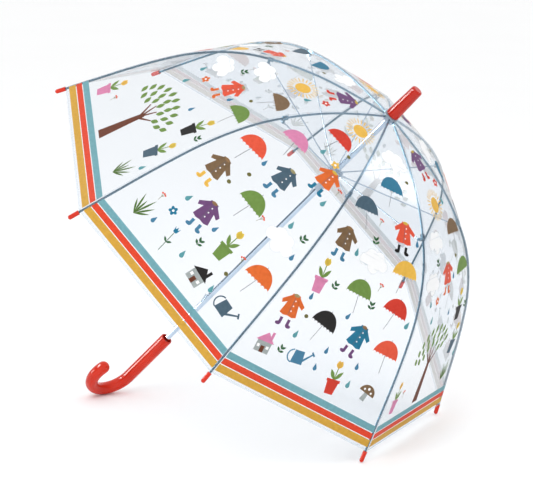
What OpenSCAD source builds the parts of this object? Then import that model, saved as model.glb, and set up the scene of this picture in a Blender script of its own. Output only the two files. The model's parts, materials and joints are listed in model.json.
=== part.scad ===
// Child's dome umbrella, open and lying on its crook handle and two rib tips.
// The assembly is modelled along the shaft, crown at the origin and handle down,
// then laid over so that the crook and the two lowest tips touch the ground at z = 0.
// All sizes are in millimetres.

/* [Shaft and handle] */
// Outside diameter of the shaft tube
shaft_d = 8; // [7.5:0.5:8.5]
// Wall of the shaft tube
shaft_wall = 0.7; // [0.5:0.1:0.9]
// Crown pivot to the rim of the handle
shaft_len = 486; // [480:1:500]
// Diameter of the handle tube
handle_d = 18; // [15:0.5:19]
// Straight part of the handle
grip_len = 90; // [80:1:100]
// Radius of the crook's centreline
crook_r = 34; // [30:1:40]
// How far round the crook goes, in degrees
crook_turn = 202; // [180:1:210]
// Direction of the crook round the shaft, in degrees from straight up
crook_side = 69; // [60:1:80]

/* [Crown and ferrule] */
// Diameter of the ferrule where it meets the canopy
ferrule_d1 = 19.2; // [18:0.2:20]
// Diameter of the ferrule near its rounded end
ferrule_d2 = 16.4; // [15:0.2:17]
// Length of the ferrule
ferrule_len = 52; // [45:1:60]
// Diameter of the clear rosette under the ferrule
rosette_d = 27; // [24:1:32]
// Diameter of the crown notch that carries the rib pivots
notch_d = 20.6; // [20.6:0.2:21.4]

/* [Ribs] */
// Diameter of the rib wire
rib_d = 3; // [2.6:0.2:3.2]
// Slope of the rib where it leaves the crown, in degrees
slope_crown = 10; // [9:0.5:11]
// Slope of the rib at its joint, in degrees
slope_joint = 28; // [27:0.5:29]
// Slope of the rib near its tip, in degrees
slope_tip = 62; // [60:0.5:63]
// Diameter of the red tip caps
cap_d = 6; // [5.5:0.5:7]
// Length of the red tip caps
cap_len = 16; // [14:1:18]

/* [Stretchers and runner] */
// Diameter of the stretcher wire
stretcher_d = 2; // [1.6:0.2:2.2]
// Outside diameter of the runner sleeve
sleeve_d = 11; // [10.6:0.2:11.2]
// Diameter of the slotted runner flange
flange_d = 21; // [20.6:0.2:22]
// Length of the runner sleeve below its pivots
sleeve_len = 38; // [34:1:40]

/* [Canopy] */
// Thickness of the canopy film, as modelled
film_t = 0.5; // [0.4:0.1:0.8]
// Clear space between a rib's centreline and the film
film_gap = 3; // [2.8:0.1:3.4]

/* [Hidden] */
$fn = 48;
arc_fn = 256;
ribs = 8;
rib_step = 360 / ribs;
half_step = rib_step / 2;
pivot_r = 8;
pin_d = 1.6;
ring_d = 1.5;
eye_d = 4.2;
eye_hole = 1.7;
eye_t = 1.6;
slot_w = 2;
runner_slot_w = 2.4;
cheek_t = 1.4;
joint_drop = 6;
seam = 0.15;
rib_seam = 0.12;
shaft_r = shaft_d / 2;
rim_recess = 6;
bead_cut = 0.12;
rib_in_cap = 8;

// A rib is a chain of [length, slope at start, slope at end] arcs.
// The short straight lengths next to a pivot are the flattened tongues.
tongue = 8;
joint_tail = 5;
lower_tongue = 6;
upper_arcs = [[65, slope_crown, 13.5], [96, 13.5, slope_joint]];
lower_arcs = [
    [52, slope_joint, 42],
    [80, 42, 57.5],
    [80, 57.5, slope_tip],
    [78, slope_tip, slope_tip]
];
upper_path = concat([[tongue, slope_crown, slope_crown]], upper_arcs, [[joint_tail, slope_joint, slope_joint]]);
lower_path = concat([[lower_tongue, slope_joint, slope_joint]], lower_arcs);

// Points in a rib's own plane are [distance from the shaft axis, height], with the crown pivot at height 0.
function heading(a) = [cos(a), -sin(a)];
function outward(a) = [sin(a), cos(a)];
function bend_r(arc) = arc[0] / ((arc[2] - arc[1]) * PI / 180);
function arc_end(p, arc) = arc[1] == arc[2]
    ? p + arc[0] * heading(arc[1])
    : p + bend_r(arc) * (outward(arc[2]) - outward(arc[1]));
function path_at(p, path, k) = k == 0 ? p : arc_end(path_at(p, path, k - 1), path[k - 1]);
function part_of(arc, f) = [arc[0] * f, arc[1], arc[1] + (arc[2] - arc[1]) * f];
function steps(arc) = arc[1] == arc[2] ? 1 : ceil(abs(arc[2] - arc[1]) / 1.8);

// Samples of a path as [point, slope], for the film that follows the ribs.
function samples(p, path) = concat(
    [for (k = [0 : len(path) - 1], j = [0 : steps(path[k]) - 1])
        let (bit = part_of(path[k], j / steps(path[k])))
        [arc_end(path_at(p, path, k), bit), bit[2]]],
    [[path_at(p, path, len(path)), path[len(path) - 1][2]]]
);

crown_pivot = [pivot_r, 0];
wire_start = path_at(crown_pivot, upper_path, 1);
wire_end = path_at(crown_pivot, upper_path, 3);
joint_pivot = path_at(crown_pivot, upper_path, 4);
stretcher_pivot = joint_pivot - joint_drop * outward(slope_joint);
lower_start = path_at(joint_pivot, lower_path, 1);
rib_end = path_at(joint_pivot, lower_path, len(lower_path));
runner_pivot = [pivot_r, 2 * stretcher_pivot[1]];
stretcher_len = norm(runner_pivot - stretcher_pivot);
stretcher_slope = atan2(runner_pivot[1] - stretcher_pivot[1], stretcher_pivot[0] - runner_pivot[0]);

cap_start = 0.8;
cap_r = cap_d / 2;
cap_ball = rib_end + (cap_start + cap_len - cap_r) * heading(slope_tip);

handle_top = -shaft_len;
grip_end = handle_top - grip_len;
crook_angle = 180 + crook_side;

// Height of the lowest tip and of the crook's lowest point under the crown, for a lean of t degrees.
function tip_low(t) = cap_ball[1] * sin(t) - cap_ball[0] * cos(half_step) * cos(t) - cap_r;
function crook_low(t) = grip_end * sin(t) + crook_r * cos(crook_side) * cos(t)
    - crook_r * norm([cos(crook_side) * cos(t), sin(t)]) - handle_d / 2;
function find_lean(lo, hi, n) = n == 0
    ? (lo + hi) / 2
    : let (t = (lo + hi) / 2)
      tip_low(t) > crook_low(t) ? find_lean(lo, t, n - 1) : find_lean(t, hi, n - 1);
lean = find_lean(30, 60, 40);
lay_x = 175.29;
lay_z = -tip_low(lean);

ferrule_base = 4.3;
rosette_z = 3.3;
rosette_t = 0.8;
catch_t = 1.2;
catch_len = 12;
catch_out = 6.6;
catch_shoulder = 2.8;
top_catch_z = runner_pivot[1] - sleeve_len - 4 - catch_len / 2;
bottom_catch_z = -shaft_len + 90;

red = [0.80, 0.16, 0.13];
steel = [0.80, 0.81, 0.83];
slate = [0.33, 0.46, 0.50];
clear = [0.90, 0.95, 0.98, 0.35];
pale_blue = [0.72, 0.86, 0.90, 0.6];

// Lays the upright assembly over onto its handle and two tips.
module lay() {
    translate([lay_x, 0, lay_z]) rotate([0, 90 - lean, 0]) children();
}

// Turns a rib's plane to its place round the shaft; rib 1 is the lowest on the far side.
module at_rib(i) {
    lay() rotate([0, 0, half_step + rib_step * (i - 1)]) children();
}

// Draws in a rib's plane: x is away from the shaft, y is up towards the crown.
module in_plane() {
    rotate([90, 0, 0]) children();
}

// A ring of straight pins, one side per rib.
module pin_ring(z, d) {
    side = 2 * pivot_r * tan(half_step);
    for (i = [1 : ribs]) {
        rotate([0, 0, half_step + rib_step * (i - 1)]) translate([pivot_r, 0, z]) {
            rotate([90, 0, 0]) cylinder(h = side, d = d, center = true);
            translate([0, side / 2, 0]) sphere(d = d + 0.1);
        }
    }
}

// The groove that a pivot wire lies in.
module ring_groove(z0, z1) {
    difference() {
        translate([0, 0, z0]) cylinder(h = z1 - z0, r = 9.7);
        translate([0, 0, z0 - 1]) cylinder(h = z1 - z0 + 2, r = 7.1);
    }
}

// Radial slots in which flat tongues swing.
module rib_slots(w, r_in, r_out, z0, z1) {
    for (i = [1 : ribs]) {
        rotate([0, 0, half_step + rib_step * (i - 1)])
            translate([r_in, -w / 2, z0]) cube([r_out - r_in, w, z1 - z0]);
    }
}

// One wire bend lying in a rib's plane, cut a hair short at both ends.
module wire_arc(p, arc, d) {
    f = bead_cut / arc[0];
    q = arc_end(p, part_of(arc, f));
    turn = (arc[2] - arc[1]) * (1 - 2 * f);
    if (turn == 0) {
        translate(q) rotate([0, 0, -arc[1]]) rotate([0, 90, 0]) cylinder(h = arc[0] - 2 * bead_cut, d = d);
    } else {
        a = arc[1] + (arc[2] - arc[1]) * f;
        translate(q - bend_r(arc) * outward(a)) rotate([0, 0, 90 - a - turn])
            rotate_extrude(angle = turn, $fn = arc_fn)
                translate([bend_r(arc), 0]) circle(d = d, $fn = 32);
    }
}

// A bent wire, with a bead at its start and over each place where two bends meet.
module wire_path(p, path, d) {
    for (k = [0 : len(path) - 1]) {
        wire_arc(path_at(p, path, k), path[k], d);
    }
    for (k = [0 : len(path) - 1]) {
        translate(path_at(p, path, k)) rotate([0, 0, -path[k][1]]) rotate([40, 90, 0])
            sphere(d = d + 0.1);
    }
}

// A flattened wire end with a round eye at the origin and its tongue along +x.
module tongue_end(length, width) {
    difference() {
        union() {
            cylinder(h = eye_t, d = eye_d, center = true);
            translate([0, -width / 2, -eye_t / 2]) cube([length, width, eye_t]);
        }
        cylinder(h = eye_t + 1, d = eye_hole, center = true);
    }
}

module shaft() {
    color(steel) lay() difference() {
        translate([0, 0, handle_top - 40]) cylinder(h = shaft_len + 40 + 36, d = shaft_d);
        translate([0, 0, handle_top - 41]) cylinder(h = shaft_len + 40 + 38, d = shaft_d - 2 * shaft_wall);
        for (z = [top_catch_z, bottom_catch_z]) {
            translate([-shaft_r - 1, -catch_t / 2 - 0.2, z - catch_len / 2 - 0.3])
                cube([shaft_r, catch_t + 0.4, catch_len + 0.6]);
        }
    }
}

module handle() {
    bead_turn = bead_cut / crook_r * 180 / PI;
    color(red) lay() rotate([0, 0, crook_angle]) difference() {
        union() {
            translate([0, 0, grip_end + bead_cut]) cylinder(h = grip_len - 1 - bead_cut, d = handle_d);
            translate([0, 0, handle_top - 1.01]) cylinder(h = 1.01, d1 = handle_d - 0.02, d2 = handle_d - 1.4);
            translate([0, 0, grip_end]) sphere(d = handle_d + 0.06);
            translate([crook_r, 0, grip_end]) rotate([90, 0, 0]) {
                rotate([0, 0, 180 + bead_turn]) rotate_extrude(angle = crook_turn - bead_turn, $fn = 128)
                    translate([crook_r, 0]) circle(d = handle_d);
                rotate([0, 0, 180 + crook_turn]) translate([crook_r, 0, 0])
                    sphere(d = handle_d - 0.12);
            }
        }
        translate([0, 0, handle_top - 40]) cylinder(h = 41, d = shaft_d);
        translate([0, 0, handle_top - rim_recess]) cylinder(h = rim_recess + 1, d = handle_d - 3.2);
    }
}

module ferrule() {
    edge = 2.6;
    top = ferrule_base + ferrule_len;
    color(red) lay() difference() {
        rotate_extrude() difference() {
            union() {
                polygon([
                    [0, ferrule_base],
                    [ferrule_d1 / 2 - 1, ferrule_base],
                    [ferrule_d1 / 2, ferrule_base + 1],
                    [ferrule_d2 / 2, top - edge],
                    [0, top - edge]
                ]);
                translate([0, top - edge - 0.01]) square([ferrule_d2 / 2 - edge, edge + 0.01]);
                intersection() {
                    translate([ferrule_d2 / 2 - edge, top - edge]) circle(r = edge);
                    translate([0, top - edge - 0.01]) square([ferrule_d2, 2 * edge]);
                }
            }
            translate([-ferrule_d1, 0]) square([ferrule_d1, top + 10]);
        }
        translate([0, 0, ferrule_base - 1]) cylinder(h = 33.5, d = shaft_d);
    }
}

module rosette() {
    color(pale_blue) lay() difference() {
        translate([0, 0, rosette_z]) cylinder(h = rosette_t, d = rosette_d);
        translate([0, 0, rosette_z - 1]) cylinder(h = rosette_t + 2, d = shaft_d);
        for (i = [1 : ribs]) {
            rotate([0, 0, rib_step * (i - 1)]) translate([rosette_d / 2 + 1.4, 0, rosette_z - 1])
                cylinder(h = rosette_t + 2, d = 6);
        }
    }
}

module crown_notch() {
    color(slate) lay() difference() {
        translate([0, 0, -4.6]) cylinder(h = 6.6, d = notch_d);
        translate([0, 0, -6]) cylinder(h = 10, d = shaft_d);
        rib_slots(slot_w, 5.5, notch_d, -6, 4);
        ring_groove(-0.9, 4);
    }
}

module crown_ring() {
    color(steel) lay() pin_ring(0, ring_d);
}

module runner() {
    z0 = runner_pivot[1];
    color(slate) lay() difference() {
        union() {
            translate([0, 0, z0 - sleeve_len]) cylinder(h = sleeve_len + 4, d = sleeve_d);
            translate([0, 0, z0 - 4]) cylinder(h = 8, d = flange_d);
        }
        translate([0, 0, z0 - sleeve_len - 1]) cylinder(h = sleeve_len + 6, d = shaft_d + 0.5);
        rib_slots(runner_slot_w, sleeve_d / 2 + 0.15, flange_d, z0 - 5, z0 + 5);
        ring_groove(z0 - 0.9, z0 + 5);
        // Keyway that lets the runner pass over the two spring catches
        translate([-7, -catch_t / 2 - 0.3, z0 - sleeve_len - 1]) cube([4, catch_t + 0.6, sleeve_len + 6]);
    }
}

// The runner's wire shows only in the lands between the slots.
module runner_ring() {
    bend = 8.4;
    clear_turn = asin(runner_slot_w / 2 / bend) + 1;
    color(steel) lay() for (i = [1 : ribs]) {
        rotate([0, 0, half_step + rib_step * (i - 1) + clear_turn]) translate([0, 0, runner_pivot[1]])
            rotate_extrude(angle = rib_step - 2 * clear_turn, $fn = arc_fn)
                translate([bend, 0]) circle(d = ring_d, $fn = 32);
    }
}

// A flat spring catch that shows through a slot in the shaft.
module catch_plate(z) {
    color(steel) lay() translate([0, 0, z]) rotate([90, 0, 0])
        translate([0, 0, -catch_t / 2]) linear_extrude(height = catch_t) polygon([
            [-0.8, -catch_len / 2 - 3],
            [-0.8, catch_len / 2 + 3],
            [-catch_shoulder, catch_len / 2 + 3],
            [-catch_shoulder, catch_len / 2],
            [-catch_out, catch_len / 2],
            [-shaft_r, -catch_len / 2],
            [-catch_shoulder, -catch_len / 2],
            [-catch_shoulder, -catch_len / 2 - 3]
        ]);
}

module upper_rib(i) {
    color(slate) at_rib(i) in_plane() {
        translate(crown_pivot) rotate([0, 0, -slope_crown]) tongue_end(tongue + 0.2, rib_d - 0.8);
        wire_path(wire_start, upper_arcs, rib_d);
        translate(joint_pivot) rotate([0, 0, -slope_joint]) rib_joint();
    }
}

// Two cheeks on a web; the lower rib and the stretcher swing between them.
module rib_joint() {
    web_x = -joint_tail - 1;
    translate([web_x - 0.1, -1.9, -slot_w / 2 - cheek_t + 0.1])
        cube([2.8, 3.6, slot_w + 2 * cheek_t - 0.2]);
    for (s = [-1, 1]) {
        translate([0, 0, s * (slot_w + cheek_t) / 2 - cheek_t / 2]) linear_extrude(height = cheek_t) {
            circle(d = eye_d);
            translate([0, -joint_drop]) circle(d = eye_d);
            polygon([
                [web_x, 1.8],
                [0, 1.8],
                [1.8, 0],
                [1.8, -joint_drop],
                [-1.8, -joint_drop],
                [-1.8, -2],
                [web_x, -2]
            ]);
        }
    }
    for (y = [0, -joint_drop]) {
        translate([0, y, 0]) cylinder(h = slot_w + 2 * cheek_t + 0.6, d = pin_d, center = true);
    }
}

module lower_rib(i) {
    last = len(lower_arcs) - 1;
    straight = [lower_arcs[last][0] + rib_in_cap, slope_tip, slope_tip];
    wire_arcs = concat([for (k = [0 : last - 1]) lower_arcs[k]], [straight]);
    color(slate) at_rib(i) in_plane() {
        translate(joint_pivot) rotate([0, 0, -slope_joint]) tongue_end(lower_tongue + 0.2, rib_d - 0.8);
        wire_path(lower_start, wire_arcs, rib_d);
    }
}

module stretcher(i) {
    color(slate) at_rib(i) in_plane() translate(stretcher_pivot) rotate([0, 0, 180 - stretcher_slope]) {
        tongue_end(tongue + 0.2, 2.4);
        translate([stretcher_len, 0, 0]) rotate([0, 0, 180]) tongue_end(tongue + 0.2, 2.4);
        translate([tongue, 0, 0]) rotate([0, 90, 0]) cylinder(h = stretcher_len - 2 * tongue, d = stretcher_d);
    }
}

module tip_cap(i) {
    color(red) at_rib(i) in_plane() translate(rib_end) rotate([0, 0, -slope_tip]) {
        difference() {
            union() {
                translate([cap_start, 0, 0]) rotate([0, 90, 0]) cylinder(h = cap_len - cap_r, d = cap_d);
                translate([cap_start + cap_len - cap_r, 0, 0]) sphere(d = cap_d);
            }
            translate([-1, 0, 0]) rotate([0, 90, 0]) cylinder(h = rib_in_cap + 1, d = rib_d);
        }
    }
}

// Film over one rib: two halves, each curved one way only, that meet along the rib
// and stop a hair short of the middle of each gore.
module film_pair(p, path) {
    line = samples(p, path);
    reach = 420;
    inner = [for (q = line) q[0] + film_gap * outward(q[1])];
    outer = [for (q = line) q[0] + (film_gap + film_t) * outward(q[1])];
    n = len(line) - 1;
    strip = concat(inner, [for (k = [n : -1 : 0]) outer[k]]);
    for (s = [-1, 1]) {
        rotate([0, 0, s * half_step]) intersection() {
            rotate([90, 0, 0]) linear_extrude(height = 2 * reach, center = true)
                polygon([for (q = strip) [q[0] * cos(half_step), q[1]]]);
            translate([0, 0, -reach]) linear_extrude(height = reach + 40) polygon([
                [rib_seam + seam / tan(half_step), -s * seam],
                [reach, -s * seam],
                [reach, -s * (reach - rib_seam) * tan(half_step)]
            ]);
        }
    }
}

module canopy_upper(i) {
    start = crown_pivot + 3 * heading(slope_crown);
    path = concat(
        [[tongue - 3, slope_crown, slope_crown]],
        upper_arcs,
        [[joint_tail - seam, slope_joint, slope_joint]]
    );
    color(clear) at_rib(i) film_pair(start, path);
}

module canopy_lower(i) {
    start = joint_pivot + seam * heading(slope_joint);
    path = concat([[lower_tongue - seam, slope_joint, slope_joint]], lower_arcs);
    color(clear) at_rib(i) film_pair(start, path);
}

shaft();
handle();
ferrule();
rosette();
crown_notch();
crown_ring();
runner();
runner_ring();
catch_plate(top_catch_z);  // top_catch
catch_plate(bottom_catch_z);  // bottom_catch
for (i = [1 : ribs]) {
    upper_rib(i);
    lower_rib(i);
    stretcher(i);
    tip_cap(i);
    canopy_upper(i);
    canopy_lower(i);
}
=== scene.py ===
import bpy
import bmesh
import json
import math
import random
from mathutils import Matrix, Quaternion, Vector
from mathutils.geometry import tessellate_polygon


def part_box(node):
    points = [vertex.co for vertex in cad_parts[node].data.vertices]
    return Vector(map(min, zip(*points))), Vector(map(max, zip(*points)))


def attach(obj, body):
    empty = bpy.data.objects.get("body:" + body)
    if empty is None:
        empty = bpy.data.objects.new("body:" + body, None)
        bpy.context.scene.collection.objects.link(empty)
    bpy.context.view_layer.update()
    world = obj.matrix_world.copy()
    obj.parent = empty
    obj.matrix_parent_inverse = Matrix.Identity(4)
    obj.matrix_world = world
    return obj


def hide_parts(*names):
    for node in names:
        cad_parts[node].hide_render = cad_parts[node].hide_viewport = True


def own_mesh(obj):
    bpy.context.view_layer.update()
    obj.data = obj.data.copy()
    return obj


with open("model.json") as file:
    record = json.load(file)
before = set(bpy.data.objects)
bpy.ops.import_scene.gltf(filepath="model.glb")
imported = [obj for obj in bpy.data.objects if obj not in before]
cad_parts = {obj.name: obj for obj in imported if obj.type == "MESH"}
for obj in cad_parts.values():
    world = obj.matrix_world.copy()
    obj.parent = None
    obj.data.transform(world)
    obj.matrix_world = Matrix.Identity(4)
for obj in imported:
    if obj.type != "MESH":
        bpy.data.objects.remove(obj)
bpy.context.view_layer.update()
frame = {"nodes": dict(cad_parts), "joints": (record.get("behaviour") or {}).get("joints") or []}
RIBS = 8
HALF = math.radians(22.5)
MM = 0.001


# ---------------------------------------------------------------- the umbrella's own axes
# The crown and the shaft's direction are read back from the frame's joints.
joints = {j["name"]: j for j in frame["joints"]}


def mean_place(kind):
    """Middle of a ring of eight joints, in the row frame."""
    places = [Vector(joints[f"{kind}_{i}"]["pos_m"]) for i in range(1, RIBS + 1)]
    return sum(places, Vector()) / RIBS


CROWN = mean_place("crown_hinge")
UP = (CROWN - mean_place("rib_joint")).normalized()
EAST = Vector((0, 1, 0))
SOUTH = EAST.cross(UP)


def in_row(x, y, z):
    """A point along the umbrella's own axes, in mm from the crown, as a row-frame point in metres."""
    return CROWN + (SOUTH * x + EAST * y + UP * z) * MM


# ---------------------------------------------------------------- the curve of the canopy
# A rib is a chain of arcs: length in mm, slope at the start and at the end in degrees.
RIB_ARCS = [
    (8, 10, 10),
    (65, 10, 13.5),
    (96, 13.5, 28),
    (5, 28, 28),
    (6, 28, 28),
    (52, 28, 42),
    (80, 42, 57.5),
    (80, 57.5, 62),
    (78, 62, 62),
]
PIVOT_R = 8
FILM_GAP = 2.4
JOINT_ARCS = 4


def rib_curve():
    """Points of a rib as (radius, height, slope), about every 6 mm, and the index of its joint."""
    r, z = PIVOT_R, 0.0
    points = [(r, z, math.radians(RIB_ARCS[0][1]))]
    joint_index = 0
    for k, (length, start, end) in enumerate(RIB_ARCS):
        if k == JOINT_ARCS:
            joint_index = len(points) - 1
        steps = max(1, round(length / 6))
        for j in range(steps):
            slope = math.radians(start + (end - start) * (j + 0.5) / steps)
            r += length / steps * math.cos(slope)
            z -= length / steps * math.sin(slope)
            points.append((r, z, math.radians(start + (end - start) * (j + 1) / steps)))
    return points, joint_index


curve, joint_at = rib_curve()


def gore_profile(lift):
    """The film's line down the middle of a gore: distance from the axis, and height."""
    line = []
    for r, z, slope in curve:
        out = r + lift * math.sin(slope)
        line.append((out * math.cos(HALF), z + lift * math.cos(slope)))
    return line


profile = gore_profile(FILM_GAP)
lengths = [0.0]
for before, after in zip(profile, profile[1:]):
    lengths.append(lengths[-1] + math.dist(before, after))
GORE_LENGTH = lengths[-1]
JOINT_S = lengths[joint_at]
CROWN_S = 3.0


def at_length(s):
    """Radius and height of the mid-gore line at s mm from its start, and its normal."""
    k = 0
    while k < len(lengths) - 2 and lengths[k + 1] < s:
        k += 1
    (r0, z0), (r1, z1) = profile[k], profile[k + 1]
    span = lengths[k + 1] - lengths[k]
    f = (s - lengths[k]) / span
    normal = (-(z1 - z0) / span, (r1 - r0) / span)
    return r0 + (r1 - r0) * f, z0 + (z1 - z0) * f, normal


def half_width(s):
    return at_length(s)[0] * math.tan(HALF)


def on_gore(g, u, s, lift=0.0):
    """A point of gore g: u mm across it towards rib g + 1, s mm down it, lift mm above the film."""
    r, z, normal = at_length(s)
    r += normal[0] * lift
    z += normal[1] * lift
    turn = 2 * HALF * g
    return in_row(
        r * math.cos(turn) - u * math.sin(turn),
        r * math.sin(turn) + u * math.cos(turn),
        z,
    )


# ---------------------------------------------------------------- materials
def linear(channel):
    return channel / 12.92 if channel <= 0.04045 else ((channel + 0.055) / 1.055) ** 2.4


def colour(r, g, b):
    """An 8-bit screen colour as the linear colour that a shader takes."""
    return tuple(linear(c / 255) for c in (r, g, b)) + (1.0,)


# How strongly a clear skin mirrors: head-on, more at a grazing angle, and how fast it rises.
GLOSS_FACING = 0.04
GLOSS_AT_EDGE = 0.7
GLOSS_POWER = 5.0


class Paint:
    """A material with a Principled shader, its colour and roughness varied by noise."""

    def __init__(self, name, base, shade, rough, scale, detail=4.0):
        self.material = bpy.data.materials.new(name)
        self.material.use_nodes = True
        self.tree = self.material.node_tree
        self.shader = self.tree.nodes["Principled BSDF"]
        coords = self.tree.nodes.new("ShaderNodeTexCoord")
        self.noise = self.tree.nodes.new("ShaderNodeTexNoise")
        self.noise.inputs["Scale"].default_value = scale
        self.noise.inputs["Detail"].default_value = detail
        self.tree.links.new(coords.outputs["Object"], self.noise.inputs["Vector"])
        ramp = self.tree.nodes.new("ShaderNodeValToRGB")
        ramp.color_ramp.elements[0].position = 0.3
        ramp.color_ramp.elements[0].color = shade
        ramp.color_ramp.elements[1].position = 0.7
        ramp.color_ramp.elements[1].color = base
        self.tree.links.new(self.noise.outputs["Fac"], ramp.inputs["Fac"])
        self.tree.links.new(ramp.outputs["Color"], self.shader.inputs["Base Color"])
        spread = self.tree.nodes.new("ShaderNodeMapRange")
        spread.inputs["To Min"].default_value = rough[0]
        spread.inputs["To Max"].default_value = rough[1]
        self.tree.links.new(self.noise.outputs["Fac"], spread.inputs["Value"])
        self.tree.links.new(spread.outputs["Result"], self.shader.inputs["Roughness"])

    def set(self, **values):
        for socket, value in values.items():
            self.shader.inputs[socket.replace("_", " ")].default_value = value
        return self

    def bump(self, strength, distance, scale=None):
        noise = self.noise
        if scale is not None:
            noise = self.tree.nodes.new("ShaderNodeTexNoise")
            noise.inputs["Scale"].default_value = scale
            source = self.noise.inputs["Vector"].links[0].from_socket
            self.tree.links.new(source, noise.inputs["Vector"])
        bump = self.tree.nodes.new("ShaderNodeBump")
        bump.inputs["Strength"].default_value = strength
        bump.inputs["Distance"].default_value = distance
        self.tree.links.new(noise.outputs["Fac"], bump.inputs["Height"])
        self.tree.links.new(bump.outputs["Normal"], self.shader.inputs["Normal"])
        return self

    def see_through(self, solid, glow=0.0, gloss=0.0, tint=None):
        """Mixes in what lies behind: solid is the share of the surface that hides it, and glow
        the share of that which light shines through. What is seen through it takes its own
        colour, or the tint given. gloss is the roughness of a clear skin."""
        nodes, links = self.tree.nodes, self.tree.links
        surface = self.shader.outputs[0]
        own_colour = self.shader.inputs["Base Color"].links[0].from_socket
        if glow:
            through = nodes.new("ShaderNodeBsdfTranslucent")
            links.new(own_colour, through.inputs["Color"])
            lit = nodes.new("ShaderNodeMixShader")
            lit.inputs["Fac"].default_value = glow
            links.new(surface, lit.inputs[1])
            links.new(through.outputs[0], lit.inputs[2])
            surface = lit.outputs[0]
        clear = nodes.new("ShaderNodeBsdfTransparent")
        if tint is None:
            links.new(own_colour, clear.inputs["Color"])
        else:
            clear.inputs["Color"].default_value = (*tint, 1)
        seen = nodes.new("ShaderNodeMixShader")
        seen.inputs["Fac"].default_value = solid
        links.new(clear.outputs[0], seen.inputs[1])
        links.new(surface, seen.inputs[2])
        surface = seen.outputs[0]
        if gloss:
            mirror = nodes.new("ShaderNodeBsdfGlossy")
            mirror.inputs["Roughness"].default_value = gloss
            facing = nodes.new("ShaderNodeLayerWeight")
            steep = nodes.new("ShaderNodeMath")
            steep.operation = "POWER"
            steep.inputs[1].default_value = GLOSS_POWER
            links.new(facing.outputs["Facing"], steep.inputs[0])
            edge = nodes.new("ShaderNodeMath")
            edge.operation = "MULTIPLY_ADD"
            edge.inputs[1].default_value = GLOSS_AT_EDGE
            edge.inputs[2].default_value = GLOSS_FACING
            links.new(steep.outputs[0], edge.inputs[0])
            if self.shader.inputs["Normal"].is_linked:
                source = self.shader.inputs["Normal"].links[0].from_socket
                links.new(source, mirror.inputs["Normal"])
            skin = nodes.new("ShaderNodeMixShader")
            links.new(edge.outputs[0], skin.inputs["Fac"])
            links.new(surface, skin.inputs[1])
            links.new(mirror.outputs[0], skin.inputs[2])
            surface = skin.outputs[0]
        output = next(n for n in nodes if n.type == "OUTPUT_MATERIAL")
        links.new(surface, output.inputs["Surface"])
        return self


def moulded(name, base, shade):
    """Glossy moulded plastic."""
    paint = Paint(name, base, shade, (0.12, 0.18), 30)
    paint.set(Specular_IOR_Level=0.25, Coat_Weight=0.12, Coat_Roughness=0.04)
    return paint.bump(0.03, 0.0004, 240)


red_plastic = moulded("red_plastic", colour(214, 48, 24), colour(200, 40, 18))
ferrule_red = moulded("ferrule_red", colour(192, 40, 24), colour(178, 34, 19))
chrome = Paint("chrome", colour(206, 222, 238), colour(190, 208, 226), (0.06, 0.12), 60)
chrome.set(Metallic=1.0)
steel = Paint("steel", colour(190, 202, 212), colour(172, 186, 198), (0.18, 0.28), 90)
steel.set(Metallic=1.0)
# The ribs are one steel. The upper ribs take a lighter copy of it, a painted highlight near the crown,
# and the lower ribs a darker copy, a painted shade.
rib_steel_painted_light = Paint("rib_steel_painted_light", colour(122, 152, 168), colour(108, 140, 156), (0.14, 0.22), 80)
rib_steel_painted_light.set(Metallic=1.0)
rib_steel_painted_shade = Paint("rib_steel_painted_shade", colour(66, 102, 118), colour(54, 90, 106), (0.16, 0.24), 80)
rib_steel_painted_shade.set(Metallic=1.0)
pale_steel = Paint("pale_steel", colour(196, 208, 218), colour(182, 196, 208), (0.2, 0.3), 80)
pale_steel.set(Metallic=1.0)
frost = Paint("frosted_plastic", colour(208, 220, 230), colour(194, 208, 220), (0.25, 0.35), 70)
frost.see_through(0.7, 0.3, 0.15, (0.9, 0.95, 1.0))
rosette_clear = Paint("rosette_clear", colour(206, 226, 234), colour(192, 216, 226), (0.1, 0.2), 40)
rosette_clear.see_through(0.5, 0.3, 0.1, (0.9, 0.96, 1.0))
film = Paint("clear_film", colour(226, 233, 244), colour(220, 229, 241), (0.3, 0.5), 9)
film.bump(0.2, 0.003, 8).see_through(0.1, 0.5, 0.2, (0.9, 0.925, 0.95))
welded = Paint("welded_film", colour(212, 222, 234), colour(204, 216, 230), (0.2, 0.4), 30)
welded.see_through(0.1, 0.5, 0, (0.96, 0.98, 1.0))

INKS = {
    "blue_band": (136, 190, 200),
    "red_band": (238, 84, 46),
    "ochre_band": (228, 186, 76),
    "green": (132, 166, 84),
    "dark_green": (62, 116, 74),
    "sage": (150, 170, 120),
    "orange": (236, 126, 52),
    "purple": (132, 88, 142),
    "black": (34, 31, 31),
    "teal": (108, 176, 184),
    "yellow": (245, 206, 96),
    "lemon": (236, 212, 88),
    "red": (226, 70, 48),
    "coral": (240, 104, 72),
    "blue": (84, 148, 182),
    "azure": (32, 138, 172),
    "slate_ink": (88, 116, 134),
    "pink": (232, 156, 196),
    "blush": (238, 160, 160),
    "brown": (146, 118, 86),
    "bark": (128, 66, 38),
    "tan": (176, 138, 96),
    "khaki": (190, 180, 130),
    "grey": (186, 194, 194),
    "meadow": (98, 134, 62),
    "line": (120, 124, 134),
    "white": (255, 255, 255),
    "mist": (214, 222, 228),
    "olive": (130, 126, 70),
}


def ink_paint(name, rgb):
    """White hides what is behind it. The other inks let a little of it through."""
    hides = name in ("white", "mist")
    base = colour(*rgb)
    shade = colour(*(max(c - (3 if hides else 12), 0) for c in rgb))
    ink = Paint("ink_" + name, base, shade, (0.4, 0.55), 260, 6.0)
    return ink.see_through(0.98 if hides else 0.78, 0.12 if hides else 0.3)


ink_paints = {name: ink_paint(name, rgb) for name, rgb in INKS.items()}
backing = Paint("ink_backing", colour(255, 250, 243), colour(254, 247, 239), (0.4, 0.55), 90)
backing.see_through(0.94, 0.12, 0, (1.0, 1.0, 1.0))


# ---------------------------------------------------------------- shapes of the prints
# A drawing is a list of (ink, layer, outline). Outlines are in mm, x across and y up to the crown.


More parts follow.
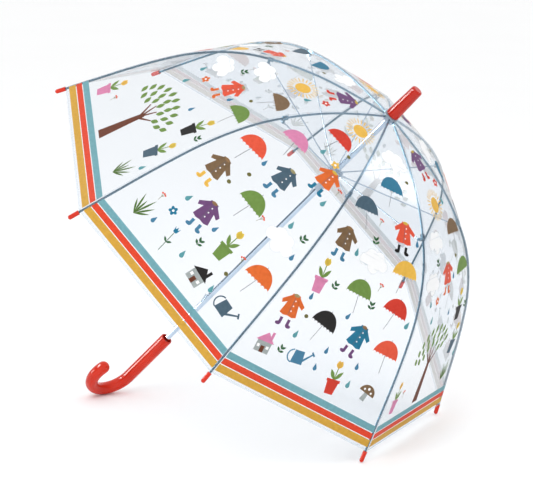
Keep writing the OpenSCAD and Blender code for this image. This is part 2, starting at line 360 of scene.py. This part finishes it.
def ellipse(cx, cy, rx, ry, turn=0.0, n=20):
    c, s = math.cos(math.radians(turn)), math.sin(math.radians(turn))
    outline = []
    for k in range(n):
        a = 2 * math.pi * k / n
        x, y = rx * math.cos(a), ry * math.sin(a)
        outline.append((cx + x * c - y * s, cy + x * s + y * c))
    return outline


def leaf_outline(x, y, length, width, turn, n=7):
    """A pointed leaf that starts at (x, y) and grows along turn."""
    c, s = math.cos(math.radians(turn)), math.sin(math.radians(turn))
    side = [(length * k / n, width / 2 * math.sin(math.pi * k / n)) for k in range(n + 1)]
    both = side + [(a, -b) for a, b in reversed(side[1:-1])]
    return [(x + a * c - b * s, y + a * s + b * c) for a, b in both]


def stroke(x0, y0, x1, y1, width, end_width=None):
    """A straight stroke of the brush, wider or thinner at its far end."""
    end_width = width if end_width is None else end_width
    length = math.dist((x0, y0), (x1, y1))
    nx, ny = -(y1 - y0) / length / 2, (x1 - x0) / length / 2
    return [
        (x0 + nx * width, y0 + ny * width),
        (x0 - nx * width, y0 - ny * width),
        (x1 - nx * end_width, y1 - ny * end_width),
        (x1 + nx * end_width, y1 + ny * end_width),
    ]


def brolly(ink, width=50, stick=44, lean=0, panel=None):
    """A little open umbrella with a scalloped edge, a stick and a hooked end."""
    r = width / 2
    dome = [(r * math.cos(math.pi * k / 18), r * 1.12 * math.sin(math.pi * k / 18)) for k in range(19)]
    scallops = 7
    step = width / scallops
    edge = []
    for k in range(scallops):
        x0 = -r + k * step
        for j in range(1, 5):
            a = math.pi * j / 5
            edge.append((x0 + step / 2 - step / 2 * math.cos(a), step * 0.42 * math.sin(a)))
        edge.append((x0 + step, 0))
    drawing = [(ink, 1, dome + edge[:-1])]
    foot = (math.tan(math.radians(lean)) * -stick, -stick)
    drawing.append(("line", 0, stroke(0, 6, foot[0], foot[1], 0.9)))
    drawing.append(("line", 0, stroke(0, r * 1.1, 0, r * 1.1 + 3, 0.9)))
    if panel:
        middle = []
        for k in range(9):
            across, down = math.pi * k / 8, math.pi * k / 16
            middle.append((r * 0.3 * math.sin(across), r * 1.1 * math.cos(down)))
        drawing.append((panel, 2, [(-x, y) for x, y in middle] + [(r * 0.3, 3), (0, 4)]))
    return drawing


def coat(ink, boots="slate_ink", lining="lemon", size=1.0):
    """A raincoat hung up on its own, with a pair of rain boots under it."""
    body = [(-6, 30), (6, 30), (13, 2), (7, 0), (0, 1), (-7, 0), (-13, 2)]
    sleeve = [(5, 29), (18, 19), (16, 14), (5, 20)]
    drawing = [
        (ink, 1, body),
        (ink, 1, sleeve),
        (ink, 1, [(-x, y) for x, y in reversed(sleeve)]),
        (lining, 2, ellipse(0, 29, 4.5, 2.2, 0, 12)),
        ("line", 2, stroke(0, 26, 0, 2, 0.6)),
    ]
    for y in (22, 15, 8):
        drawing.append(("white", 2, ellipse(2.2, y, 1, 1, 0, 8)))
    for side in (-1, 1):
        leg = side * 6
        drawing.append((boots, 1, [(leg - 2.2, -3), (leg + 2.2, -3), (leg + 2.2, -12), (leg - 2.2, -12)]))
        drawing.append((boots, 1, ellipse(leg + 2.2 * side, -12, 4, 2.4, 0, 12)))
    return scaled(drawing, size)


def flower_pot(pot, petals, leaves="green"):
    """A potted tulip."""
    drawing = [
        (pot, 1, [(-9, 12), (9, 12), (6.5, -6), (-6.5, -6)]),
        (pot, 2, [(-10.5, 15), (10.5, 15), (10.5, 11), (-10.5, 11)]),
        (leaves, 0, stroke(0, 13, 0, 32, 1.4)),
        (leaves, 1, leaf_outline(0, 14, 17, 5.5, 55)),
        (leaves, 1, leaf_outline(0, 14, 17, 5.5, 125)),
        (petals, 1, leaf_outline(-0.5, 30, 12, 8, 75)),
        (petals, 2, leaf_outline(0.5, 30, 12, 8, 105)),
    ]
    return drawing


def house(walls, roof, door="bark"):
    """A small house with a pitched roof."""
    return [
        (walls, 1, [(-11, 0), (11, 0), (11, 15), (-11, 15)]),
        (roof, 2, [(-14, 15), (14, 15), (0, 28)]),
        (roof, 1, [(5, 20), (9, 20), (9, 30), (5, 30)]),
        (door, 2, [(-3, 0), (3, 0), (3, 9), (-3, 9)]),
        ("white", 2, [(5, 6), (9, 6), (9, 10), (5, 10)]),
        ("white", 2, [(-9, 6), (-5, 6), (-5, 10), (-9, 10)]),
    ]


def watering_can(ink):
    """A watering can with a spout and a round handle."""
    rim = []
    for k in range(9):
        a = math.radians(100 + 160 * k / 8)
        rim.append((-8 + 9 * math.cos(a), 9 + 9 * math.sin(a)))
    drawing = [
        (ink, 1, [(-10, 0), (8, 0), (6, 18), (-8, 18)]),
        (ink, 1, stroke(6, 5, 19, 18, 3.2, 2)),
        (ink, 2, stroke(16.5, 20.5, 21.5, 15.5, 2.4)),
    ]
    return drawing + [(ink, 0, stroke(*p, *q, 1.8)) for p, q in zip(rim, rim[1:])]


def toadstool(cap, stem="grey"):
    dome = [(13 * math.cos(math.pi * k / 14), 5 + 12 * math.sin(math.pi * k / 14)) for k in range(15)]
    spots = [(-6, 9, 1.6), (0, 12, 2.0), (6, 8.5, 1.6)]
    drawing = [(stem, 0, [(-3, 6), (3, 6), (4, -6), (-4, -6)]), (cap, 1, dome)]
    return drawing + [("white", 2, ellipse(x, y, r, r, 0, 10)) for x, y, r in spots]


def blossom(ink, heart="yellow", size=1.0):
    """A five-petalled flower seen from above."""
    drawing = []
    for k in range(5):
        a = 72 * k + 18
        x, y = 5 * math.cos(math.radians(a)), 5 * math.sin(math.radians(a))
        drawing.append((ink, 1, ellipse(x, y, 4.6, 3.4, a, 12)))
    drawing.append((heart, 2, ellipse(0, 0, 2.6, 2.6, 0, 10)))
    return scaled(drawing, size)


def drop(ink="teal", size=1.0):
    outline = [(0, 7)]
    for k in range(11):
        a = math.radians(30 - 240 * k / 10)
        outline.append((2.9 * math.cos(a), 2.9 * math.sin(a) - 0.6))
    return scaled([(ink, 1, outline)], size)


def grass(ink="green", height=34):
    blades = [(-40, 0.6), (-22, 0.9), (-6, 0.72), (9, 1.0), (26, 0.84), (42, 0.62)]
    return [(ink, 1, leaf_outline(0, 0, height * f, 2.6, 90 - turn)) for turn, f in blades]


def fern(ink="sage", length=30, pairs=6, tip=None):
    drawing = [(ink, 0, stroke(0, 0, 0, length, 0.8))]
    leaf = min(5.5, length / pairs)
    for k in range(pairs):
        y = length * (0.25 + 0.72 * k / pairs)
        drawing.append((ink, 1, leaf_outline(0, y, leaf, 2.1, 38)))
        drawing.append((ink, 1, leaf_outline(0, y + leaf * 0.3, leaf, 2.1, 142)))
    if tip:
        drawing.append((tip, 2, ellipse(0, length + 4, 2.8, 4.2, 0, 12)))
    return drawing


def sprig(ink="line", berry="coral", height=24):
    drawing = [(ink, 0, stroke(0, 0, 0, height * 0.55, 0.9))]
    for turn in (-32, 4, 36):
        a = math.radians(90 - turn)
        x, y = height * 0.42 * math.cos(a), height * 0.55 + height * 0.42 * math.sin(a)
        drawing.append((ink, 0, stroke(0, height * 0.5, x, y, 0.8)))
        drawing.append((berry, 1, ellipse(x, y, 2.3, 2.0, 0, 10)))
    return drawing


def tulip(petals="yellow", stem="dark_green", height=30):
    """A tulip with a toothed cup."""
    teeth = [(-4, 8), (-1.6, 4.5), (0, 8.5), (1.6, 4.5), (4, 8), (2.6, 0), (-2.6, 0)]
    return [
        (stem, 0, stroke(0, 0, 0, height, 0.9)),
        (stem, 1, leaf_outline(0, height * 0.45, 8, 3, 40)),
        (stem, 1, leaf_outline(0, height * 0.45, 8, 3, 140)),
        (petals, 1, [(x, height + y) for x, y in teeth]),
    ]


def cloud_outline(width, grow):
    """The outer edge of five overlapping puffs, followed round from the middle."""
    puffs = [
        (-0.33, -0.02, 0.18),
        (-0.14, 0.12, 0.22),
        (0.14, 0.14, 0.21),
        (0.35, -0.01, 0.16),
        (0.04, -0.12, 0.2),
    ]
    outline = []
    for k in range(72):
        a = math.radians(5 * k)
        dx, dy = math.cos(a), math.sin(a)
        reach = 0.0
        for x, y, r in puffs:
            along = x * dx + y * dy
            off = r * r - (x * x + y * y - along * along)
            if off > 0:
                reach = max(reach, along + math.sqrt(off))
        outline.append((dx * (reach * width + grow), dy * (reach * width + grow)))
    return outline


def cloud(width=52):
    return [("mist", 1, cloud_outline(width, 0.6)), ("white", 2, cloud_outline(width, 0.0))]


def sun(radius=11, rays=22):
    drawing = [("yellow", 1, ellipse(0, 0, radius, radius, 0, 20))]
    for k in range(rays):
        a = 2 * math.pi * k / rays
        c, s = math.cos(a), math.sin(a)
        near, far = radius * 1.25, radius * 2.0
        drawing.append(("yellow", 1, stroke(near * c, near * s, far * c, far * s, 1.5)))
    return drawing


def tree(height=128):
    fork = height * 0.64
    drawing = [
        ("bark", 1, [(-9, 0), (9, 0), (4, fork), (-4, fork)]),
        ("bark", 1, stroke(-1, fork - 6, -16, fork + 12, 4.2, 2)),
        ("bark", 1, stroke(0, fork - 4, -8, fork + 19, 3.8, 1.8)),
        ("bark", 1, stroke(0, fork - 4, 5, fork + 18, 3.8, 1.8)),
        ("bark", 1, stroke(1, fork - 9, 18, fork + 8, 3.8, 1.8)),
    ]
    for count, reach, first, last in [(5, 21, 172, 26), (7, 33, 182, 20), (10, 46, 178, 26)]:
        for k in range(count):
            a = first + (last - first) * k / (count - 1)
            x = reach * 1.06 * math.cos(math.radians(a)) - 2
            y = fork + reach * 0.86 * math.sin(math.radians(a))
            drawing.append(("green", 2, leaf_outline(x, y, 13.5, 7.6, 80 + (a - 90) * 0.5)))
    return drawing


def bead(ink="olive", size=1.0):
    return scaled([(ink, 1, ellipse(0, 0, 2.6, 2.2, 0, 10))], size)


def leaf_pair(ink):
    """Four broad leaves on a short stalk."""
    drawing = [(ink, 0, stroke(0, -8, 0, 8, 0.9))]
    for turn, y in ((35, -6), (145, -6), (55, 1), (125, 1)):
        drawing.append((ink, 1, leaf_outline(0, y, 12, 5.4, turn)))
    return drawing


def scaled(drawing, size):
    return [(ink, layer, [(x * size, y * size) for x, y in outline]) for ink, layer, outline in drawing]


def placed(u, s, drawing, turn=0.0, size=1.0):
    """A drawing set down on a gore, turned anticlockwise as seen from outside."""
    c, w = math.cos(math.radians(turn)), math.sin(math.radians(turn))
    moved = []
    for ink, layer, outline in sorted(drawing, key=lambda shape: shape[1]):
        spots = [(u + (x * c - y * w) * size, s - (x * w + y * c) * size) for x, y in outline]
        moved.append((ink, layer, spots))
    return moved


def together(*drawings):
    return [shape for drawing in drawings for shape in drawing]


# ---------------------------------------------------------------- three printed designs
# A rainy-day pattern of our own. Rows of cells run down a gore, as many to a row as its width
# holds. Each cell takes one drawing from a shuffled deck, and small ones go in between.
BRIGHT = [
    "yellow", "orange", "purple", "black", "green", "slate_ink",
    "brown", "red", "blue", "azure", "coral", "pink",
]
SKY = [
    lambda ink: brolly(ink(), 46, 26, 8),
    lambda ink: cloud(50),
    lambda ink: brolly(ink(), 46, 26, -8),
    lambda ink: sun(11),
    lambda ink: coat(ink(), ink(), "lemon"),
]
YARD = [
    lambda ink: brolly(ink(), 50, 28, 14),
    lambda ink: coat(ink(), ink(), "khaki"),
    lambda ink: brolly(ink(), 50, 28, -14),
    lambda ink: flower_pot(ink(), "lemon"),
    lambda ink: cloud(54),
    lambda ink: brolly(ink(), 50, 28, 6),
    lambda ink: coat(ink(), ink(), "tan"),
]
GROUND = [
    lambda ink: grass("meadow", 34),
    lambda ink: toadstool(ink()),
    lambda ink: house("grey", ink()),
    lambda ink: tulip(ink()),
    lambda ink: watering_can(ink()),
    lambda ink: fern("sage", 34, 7),
    lambda ink: flower_pot(ink(), "yellow"),
]
SMALL = [
    lambda ink: drop("teal", 1.1),
    lambda ink: bead("olive", 1.2),
    lambda ink: leaf_pair("dark_green"),
    lambda ink: drop("blue"),
    lambda ink: blossom(ink(), "white"),
    lambda ink: sprig("olive", "coral", 18),
]
ROWS = 7
FIRST_ROW = 72
ROW_PITCH = 52
CELL = 48
EDGE_ROOM = 6
MOTIF_ROOM = 47
SMALL_ROOM = 12
FOOT_S = 412
TREE_HEIGHT = 104
TREE_SWAY = 20
SKY_ROWS = 3
MOTIF_TURN = 9
SMALL_TURN = 20
SHIFT_ACROSS = 3
SHIFT_DOWN = 4


def dealer(draw, cards):
    """Deals the cards in a shuffled order, and shuffles them again when they run out."""
    deck = []

    def deal():
        if not deck:
            deck.extend(draw.sample(cards, len(cards)))
        return deck.pop()

    return deal


def box_of(drawing):
    """Least and greatest of both coordinates, over every outline."""
    xs = [x for ink, layer, outline in drawing for x, y in outline]
    ys = [y for ink, layer, outline in drawing for x, y in outline]
    return min(xs), min(ys), max(xs), max(ys)


def fitted(u, s, drawing, turn, room):
    """The drawing's middle set down at (u, s), and made small enough for the room."""
    x0, y0, x1, y1 = box_of(drawing)
    size = min(1.0, room / (x1 - x0), room / (y1 - y0))
    mid_x, mid_y = (x0 + x1) / 2, (y0 + y1) / 2
    level = []
    for ink, layer, outline in drawing:
        level.append((ink, layer, [(x - mid_x, y - mid_y) for x, y in outline]))
    return placed(u, s, level, turn, size)


def is_clear(drawing, others):
    """Does the drawing's box keep off every other drawing's box?"""
    x0, y0, x1, y1 = box_of(drawing)
    for other in others:
        a0, b0, a1, b1 = box_of(other)
        if x0 < a1 and a0 < x1 and y0 < b1 and b0 < y1:
            return False
    return True


def cells_of_row(row):
    """The middles of a row's cells, across the gore, and its distance down the gore."""
    s = FIRST_ROW + ROW_PITCH * row
    room = 2 * (half_width(s) - EDGE_ROOM)
    count = max(1, int(room / CELL))
    return [(room / count * (k - (count - 1) / 2), s) for k in range(count)]


def rainy_pattern(seed, with_tree):
    """One gore's print."""
    draw = random.Random(seed)
    ink = dealer(draw, BRIGHT)
    decks = [dealer(draw, cards) for cards in (SKY, YARD, GROUND)]
    small = dealer(draw, SMALL)
    taken = [placed(draw.uniform(-TREE_SWAY, TREE_SWAY), FOOT_S, tree(TREE_HEIGHT))] if with_tree else []
    for row in range(ROWS):
        deck = decks[0] if row < SKY_ROWS else decks[1] if row < ROWS - 1 else decks[2]
        for u, s in cells_of_row(row):
            turn = draw.uniform(-MOTIF_TURN, MOTIF_TURN)
            spot = (
                u + draw.uniform(-SHIFT_ACROSS, SHIFT_ACROSS),
                s + draw.uniform(-SHIFT_DOWN, SHIFT_DOWN),
            )
            motif = fitted(*spot, deck()(ink), turn, MOTIF_ROOM)
            if is_clear(motif, taken):
                taken.append(motif)
    for row in range(ROWS):
        for u, s in cells_of_row(row):
            for du, ds in ((CELL / 2, 0), (0, ROW_PITCH / 2), (CELL / 2, ROW_PITCH / 2)):
                drawing = small()(ink)
                turn = draw.uniform(-SMALL_TURN, SMALL_TURN)
                motif = fitted(u + du, s + ds, drawing, turn, SMALL_ROOM)
                inside = abs(u + du) < half_width(s + ds) - SMALL_ROOM
                if inside and s + ds < FOOT_S - SMALL_ROOM / 2 and is_clear(motif, taken):
                    taken.append(motif)
    return together(*taken)


# Rim bands: where each starts and ends down the gore, in mm, and its ink.
BANDS = [(417.0, 426.0, "blue_band"), (427.2, 435.6, "red_band"), (436.8, 446.8, "ochre_band")]
PATTERNS = [rainy_pattern(11, False), rainy_pattern(12, True), rainy_pattern(13, False)]


# ---------------------------------------------------------------- flat drawings to film
# Heights above the film in mm. Each later shape of a drawing lies a little higher.
WELD_LIFT = 0.1
BASE_LIFT = 0.05
BASE_THICKNESS = 0.0002
PRINT_LIFT = 0.18
INK_THICKNESS = 0.0012
PAST_EDGE = 200
HEM_WIDTH = 3.0
WELD_INNER = 3.4
WELD_OUTER = 0.4
WELD_MARGIN = 0.3
SEAM_MARGIN = 2.2
STEP = 10.0


def wide_strip(s0, s1, ink, layer=1):
    """A strip right across a gore. It is trimmed to the gore's width afterwards."""
    return (ink, layer, [(-PAST_EDGE, s0), (PAST_EDGE, s0), (PAST_EDGE, s1), (-PAST_EDGE, s1)])


def flat_mesh(shapes, margin):
    """The drawing as cut triangles: (corners, ink, order). Cut along the gore's middle line, at
    the rib joint, every STEP mm down and at margin mm from each rib."""
    bm = bmesh.new()
    ink_layer = bm.faces.layers.int.new("ink")
    lift_layer = bm.faces.layers.int.new("lift")
    names = sorted({ink for ink, layer, outline in shapes})
    for order, (ink, layer, outline) in enumerate(shapes):
        flat = [Vector((u, s, 0)) for u, s in outline]
        area = sum(a.x * b.y - b.x * a.y for a, b in zip(flat, flat[1:] + flat[:1]))
        if area > 0:
            flat.reverse()
        corners = [bm.verts.new(p) for p in flat]
        for triangle in tessellate_polygon([flat]):
            face = bm.faces.new([corners[k] for k in triangle])
            face.normal_update()
            if face.normal.z > 0:
                face.normal_flip()
            face[ink_layer] = names.index(ink)
            face[lift_layer] = order
    cuts = [CROWN_S + 0.01, JOINT_S] + [k * STEP for k in range(1, int(GORE_LENGTH / STEP) + 1)]
    for s in sorted(cuts):
        geometry = bm.verts[:] + bm.edges[:] + bm.faces[:]
        bmesh.ops.bisect_plane(bm, geom=geometry, plane_co=(0, s, 0), plane_no=(0, 1, 0), dist=1e-4)
    for limit, normal, keep_low in ((CROWN_S, (0, 1, 0), False), (GORE_LENGTH, (0, 1, 0), True)):
        geometry = bm.verts[:] + bm.edges[:] + bm.faces[:]
        bmesh.ops.bisect_plane(
            bm,
            geom=geometry,
            plane_co=(0, limit, 0),
            plane_no=normal,
            dist=1e-4,
            clear_outer=keep_low,
            clear_inner=not keep_low,
        )
    for vert in bm.verts:
        vert.co.x /= half_width(vert.co.y) - margin
    for place in (-1, 0, 1):
        geometry = bm.verts[:] + bm.edges[:] + bm.faces[:]
        bmesh.ops.bisect_plane(
            bm,
            geom=geometry,
            plane_co=(place, 0, 0),
            plane_no=(1, 0, 0),
            dist=1e-6,
            clear_outer=place == 1,
            clear_inner=place == -1,
        )
    for vert in bm.verts:
        vert.co.x *= half_width(vert.co.y) - margin
    faces = []
    for face in bm.faces:
        corners = [(v.co.x, v.co.y) for v in face.verts]
        faces.append((corners, names[face[ink_layer]], face[lift_layer]))
    bm.free()
    return faces


def quarter_of(corners):
    """Which half-gore a face lies in, and whether it is above or below the rib joints."""
    u = sum(c[0] for c in corners) / len(corners)
    s = sum(c[1] for c in corners) / len(corners)
    return ("right" if u > 0 else "left", "upper" if s < JOINT_S else "lower")


def sort_quarters(faces):
    quarters = {}
    for face in faces:
        quarters.setdefault(quarter_of(face[0]), []).append(face)
    return quarters


def petal_mesh(name, i, part, quarters_by_gore, paints, lift_of):
    """The film or print over rib i: the near halves of the gores on its two sides."""
    verts = []
    faces = []
    face_inks = []
    used = []
    place = {}
    for g, side in ((i, "left"), ((i - 2) % RIBS + 1, "right")):
        for corners, ink, order in quarters_by_gore[g].get((side, part), []):
            lift = lift_of(order)
            ring = []
            for u, s in corners:
                key = (g, round(u, 4), round(s, 4), lift)
                if key not in place:
                    place[key] = len(verts)
                    verts.append(on_gore(g, u, s, lift))
                if place[key] not in ring:
                    ring.append(place[key])
            if len(ring) < 3:
                continue
            if ink not in used:
                used.append(ink)
            faces.append(ring)
            face_inks.append(used.index(ink))
    mesh = bpy.data.meshes.new(name)
    mesh.from_pydata([tuple(v) for v in verts], [], faces)
    for ink in used:
        mesh.materials.append(paints[ink].material)
    mesh.polygons.foreach_set("material_index", face_inks)
    mesh.polygons.foreach_set("use_smooth", [True] * len(faces))
    mesh.update()
    piece = bpy.data.objects.new(name, mesh)
    bpy.context.scene.collection.objects.link(piece)
    return piece


def fold_with(piece, i, part):
    """The petal rides its rib."""
    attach(piece, f"{part}_{i}")
    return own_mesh(piece)


def seam_shapes():
    """The clear film itself, its welded strips beside the ribs, and its welded hem."""
    shapes = [wide_strip(0, GORE_LENGTH, "film", 0)]
    hem = wide_strip(GORE_LENGTH - HEM_WIDTH, GORE_LENGTH, "welded")
    return shapes, [hem] + weld_strips()


def weld_strips():
    strips = []
    for side in (-1, 1):
        for k in range(int(GORE_LENGTH / STEP) + 1):
            s0, s1 = k * STEP, min((k + 1) * STEP, GORE_LENGTH)
            inner = [side * (half_width(s) - WELD_INNER) for s in (s0, s1)]
            outer = [side * (half_width(s) - WELD_OUTER) for s in (s0, s1)]
            outline = [(inner[0], s0), (outer[0], s0), (outer[1], s1), (inner[1], s1)]
            strips.append(("welded", 1, outline))
    return strips


film_shapes, welds = seam_shapes()
film_quarters = sort_quarters(flat_mesh(film_shapes, 0.0))
weld_quarters = sort_quarters(flat_mesh(welds, WELD_MARGIN))
all_film = {g: film_quarters for g in range(1, RIBS + 1)}
all_welds = {g: weld_quarters for g in range(1, RIBS + 1)}
bands = [wide_strip(s0, s1, ink) for s0, s1, ink in BANDS]


prints = [sort_quarters(flat_mesh(bands + pattern, SEAM_MARGIN)) for pattern in PATTERNS]
printed = {g: prints[(g - 1) % len(prints)] for g in range(1, RIBS + 1)}

film_paints = {"film": film, "welded": welded}
back_paints = {name: backing for name in INKS}


def film_lift(order):
    return 0.0


def weld_lift(order):
    return WELD_LIFT


def print_lift(order):
    return PRINT_LIFT + INK_THICKNESS * order


def base_lift(order):
    return BASE_LIFT + BASE_THICKNESS * order


for i in range(1, RIBS + 1):
    for part in ("upper", "lower"):
        sheet = petal_mesh(f"film_{part}_{i}", i, part, all_film, film_paints, film_lift)
        weld = petal_mesh(f"welds_{part}_{i}", i, part, all_welds, film_paints, weld_lift)
        ink = petal_mesh(f"prints_{part}_{i}", i, part, printed, ink_paints, print_lift)
        base = petal_mesh(f"backing_{part}_{i}", i, part, printed, back_paints, base_lift)
        for piece in (sheet, weld, ink, base):
            fold_with(piece, i, part)
        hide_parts(f"canopy_{part}_{i}")


# ---------------------------------------------------------------- paint on the CAD's parts
FINISHES = {
    "handle": red_plastic,
    "ferrule": ferrule_red,
    "tip_cap": red_plastic,
    "shaft": chrome,
    "rosette": rosette_clear,
    "crown_notch": frost,
    "crown_ring": steel,
    "runner": frost,
    "runner_ring": steel,
    "top_catch": steel,
    "bottom_catch": steel,
    # Upper ribs get the lighter painted copy of the rib steel, lower ribs its painted shade.
    "upper_rib": rib_steel_painted_light,
    "lower_rib": rib_steel_painted_shade,
    "stretcher": pale_steel,
}
for name, node in frame["nodes"].items():
    kind = name.rstrip("0123456789").rstrip("_")
    if kind in FINISHES:
        node.data.materials.clear()
        node.data.materials.append(FINISHES[kind].material)


# ---------------------------------------------------------------- floor, light and camera
floor_paint = Paint("floor_white", colour(253, 253, 253), colour(252, 252, 252), (0.8, 0.9), 2)
bpy.ops.mesh.primitive_plane_add(size=60, location=(0, 0, -0.0005))
floor = bpy.context.object
floor.name = "floor"
floor.data.materials.append(floor_paint.material)

AZIMUTH, ELEVATION, DISTANCE, ROLL = 25.386, 11.074, 2.8333, 1.677
TARGET = Vector((0.0036, 0, 0.25))
LENS = 136.1
SENSOR = 36
SHIFT_X, SHIFT_Y = -0.0092, -0.0105
camera = bpy.data.objects.new("camera", bpy.data.cameras.new("camera"))
bpy.context.scene.collection.objects.link(camera)
a, e = math.radians(AZIMUTH), math.radians(ELEVATION)
back = Vector((math.sin(a) * math.cos(e), -math.cos(a) * math.cos(e), math.sin(e)))
camera.location = TARGET + back * DISTANCE
camera.rotation_mode = "QUATERNION"
roll = Quaternion((0, 0, 1), math.radians(ROLL))
camera.rotation_quaternion = (-back).to_track_quat("-Z", "Y") @ roll
camera.data.lens = LENS
camera.data.sensor_width = SENSOR
camera.data.shift_x = SHIFT_X
camera.data.shift_y = SHIFT_Y
bpy.context.scene.camera = camera
bpy.context.scene.view_settings.view_transform = "Standard"


# ---------------------------------------------------------------- studio light
VIEW_RIGHT = camera.rotation_quaternion @ Vector((1, 0, 0))
VIEW_UP = camera.rotation_quaternion @ Vector((0, 1, 0))
UPPER_LEFT = (VIEW_UP - VIEW_RIGHT).normalized()
# The white surroundings darken towards both sides of the view, between these two shares of it.
SKY_STRENGTH = 1.12
DARK_FROM, DARK_BY = 0.72, 0.86
DARK_SIDE = (0.03, 0.06, 0.09, 1)
STRIPS = (("ferrule", (0.9, 0.3), 22), ("handle", (0.7, 0.4), 18))
STRIP_TILT = math.radians(38)
SOFTBOX_DISTANCE = 2.0
SHINE_U, SHINE_S = 4, 104

world = bpy.data.worlds.new("studio")
world.use_nodes = True
sky = world.node_tree
sky.nodes["Background"].inputs["Strength"].default_value = SKY_STRENGTH
around = sky.nodes.new("ShaderNodeTexCoord")
sideways = sky.nodes.new("ShaderNodeVectorMath")
sideways.operation = "DOT_PRODUCT"
sideways.inputs[1].default_value = VIEW_RIGHT
either_side = sky.nodes.new("ShaderNodeMath")
either_side.operation = "ABSOLUTE"
flag = sky.nodes.new("ShaderNodeValToRGB")
flag.color_ramp.elements[0].position = DARK_FROM
flag.color_ramp.elements[0].color = (1, 1, 1, 1)
flag.color_ramp.elements[1].position = DARK_BY
flag.color_ramp.elements[1].color = DARK_SIDE
sky.links.new(around.outputs["Generated"], sideways.inputs[0])
sky.links.new(sideways.outputs["Value"], either_side.inputs[0])
sky.links.new(either_side.outputs["Value"], flag.inputs["Fac"])
sky.links.new(flag.outputs["Color"], sky.nodes["Background"].inputs["Color"])
bpy.context.scene.world = world


def mirrored_softbox(name, point, normal, along, distance, sizes, power, lit=True):
    """A softbox that a shiny surface at point, facing normal, mirrors to the camera."""
    to_camera = (camera.location - point).normalized()
    toward_lamp = 2 * normal.dot(to_camera) * normal - to_camera
    across = along.cross(toward_lamp).normalized()
    light = bpy.data.lights.new(name, "AREA")
    light.shape = "RECTANGLE"
    light.size, light.size_y = sizes
    light.energy = power
    lamp = bpy.data.objects.new(name, light)
    lamp.location = point + toward_lamp * distance
    lamp.rotation_mode = "QUATERNION"
    turned = Matrix((across, toward_lamp.cross(across), toward_lamp)).transposed()
    lamp.rotation_quaternion = turned.to_quaternion()
    lamp.visible_diffuse = lit
    bpy.context.scene.collection.objects.link(lamp)


# Strips that the straight red parts mirror as a thin bright line on their upper left side.
for name, sizes, power in STRIPS:
    low, high = (Vector(corner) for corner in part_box(name))
    point = (low + high) / 2
    facing = (camera.location - point).normalized()
    facing = (facing - facing.dot(UP) * UP).normalized()
    sideways = UP.cross(facing)
    if sideways.dot(UPPER_LEFT) < 0:
        sideways.negate()
    normal = facing * math.cos(STRIP_TILT) + sideways * math.sin(STRIP_TILT)
    mirrored_softbox(f"strip_{name}", point, normal, UP, SOFTBOX_DISTANCE, sizes, power, lit=False)

fill = bpy.data.objects.new("fill", bpy.data.lights.new("fill", "AREA"))
fill.data.size = 1.5
fill.data.energy = 20
fill.location = TARGET + (back + VIEW_UP * 0.7 - VIEW_RIGHT * 0.3).normalized() * 3
fill.rotation_mode = "QUATERNION"
fill.rotation_quaternion = (TARGET - fill.location).to_track_quat("-Z", "Y")
fill.visible_glossy = False
bpy.context.scene.collection.objects.link(fill)

# One more softbox that the near canopy, close to the crown, mirrors to the camera.
SHINE_GORE = 7
shine = on_gore(SHINE_GORE, SHINE_U, SHINE_S)
normal = (on_gore(SHINE_GORE, SHINE_U, SHINE_S, 1.0) - shine).normalized()
mirrored_softbox("shine", shine, normal, UP, SOFTBOX_DISTANCE, (0.35, 0.35), 6)
